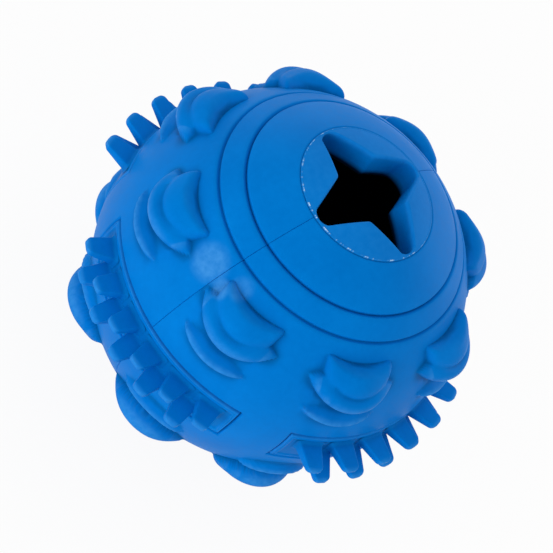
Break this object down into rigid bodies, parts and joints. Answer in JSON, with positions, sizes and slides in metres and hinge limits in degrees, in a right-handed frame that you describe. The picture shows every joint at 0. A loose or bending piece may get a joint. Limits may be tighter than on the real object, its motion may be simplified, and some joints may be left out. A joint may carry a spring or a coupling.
{
  "type": "treat dispensing ball",
  "caption": "Hollow blue rubber dog ball with a star-cut treat mouth of flexing lips, raised scale groups, and toothed tread pads round its equator that clean teeth.",
  "frame": {"origin": "centre of the ball", "axes": "+Z along the mouth axis, out of the star-cut mouth; +X along the seam between the half shells, through the middle of tread pad 1"},
  "size_m": [0.0796, 0.0796, 0.0682],
  "materials": {
    "ball_rubber": "satin moulded natural rubber",
    "lip_rubber": "satin moulded natural rubber",
    "tread_rubber": "satin moulded natural rubber"
  },
  "bodies": {
    "ball": {"front_shell": "ball_rubber", "rear_shell": "ball_rubber", "tread_pad_1": "tread_rubber", "tread_pad_2": "tread_rubber", "tread_pad_3": "tread_rubber", "tread_pad_4": "tread_rubber"},
    "lip_1": {"lip_1": "lip_rubber"},
    "lip_2": {"lip_2": "lip_rubber"},
    "lip_3": {"lip_3": "lip_rubber"},
    "lip_4": {"lip_4": "lip_rubber"}
  },
  "joints": [
    {"name": "lip_1_flex", "type": "hinge", "parent": "ball", "child": "lip_1", "pos_m": [0.00878, 0.00986, 0.03188], "axis": [-0.7466, 0.6652, 0], "range_deg": [-20, 15], "stiffness_Nm_per_rad": 0.1},
    {"name": "lip_2_flex", "type": "hinge", "parent": "ball", "child": "lip_2", "pos_m": [-0.00986, 0.00878, 0.03188], "axis": [-0.6652, -0.7466, 0], "range_deg": [-20, 15], "stiffness_Nm_per_rad": 0.1},
    {"name": "lip_3_flex", "type": "hinge", "parent": "ball", "child": "lip_3", "pos_m": [-0.00878, -0.00986, 0.03188], "axis": [0.7466, -0.6652, 0], "range_deg": [-20, 15], "stiffness_Nm_per_rad": 0.1},
    {"name": "lip_4_flex", "type": "hinge", "parent": "ball", "child": "lip_4", "pos_m": [0.00986, -0.00878, 0.03188], "axis": [0.6652, 0.7466, 0], "range_deg": [-20, 15], "stiffness_Nm_per_rad": 0.1}
  ]
}
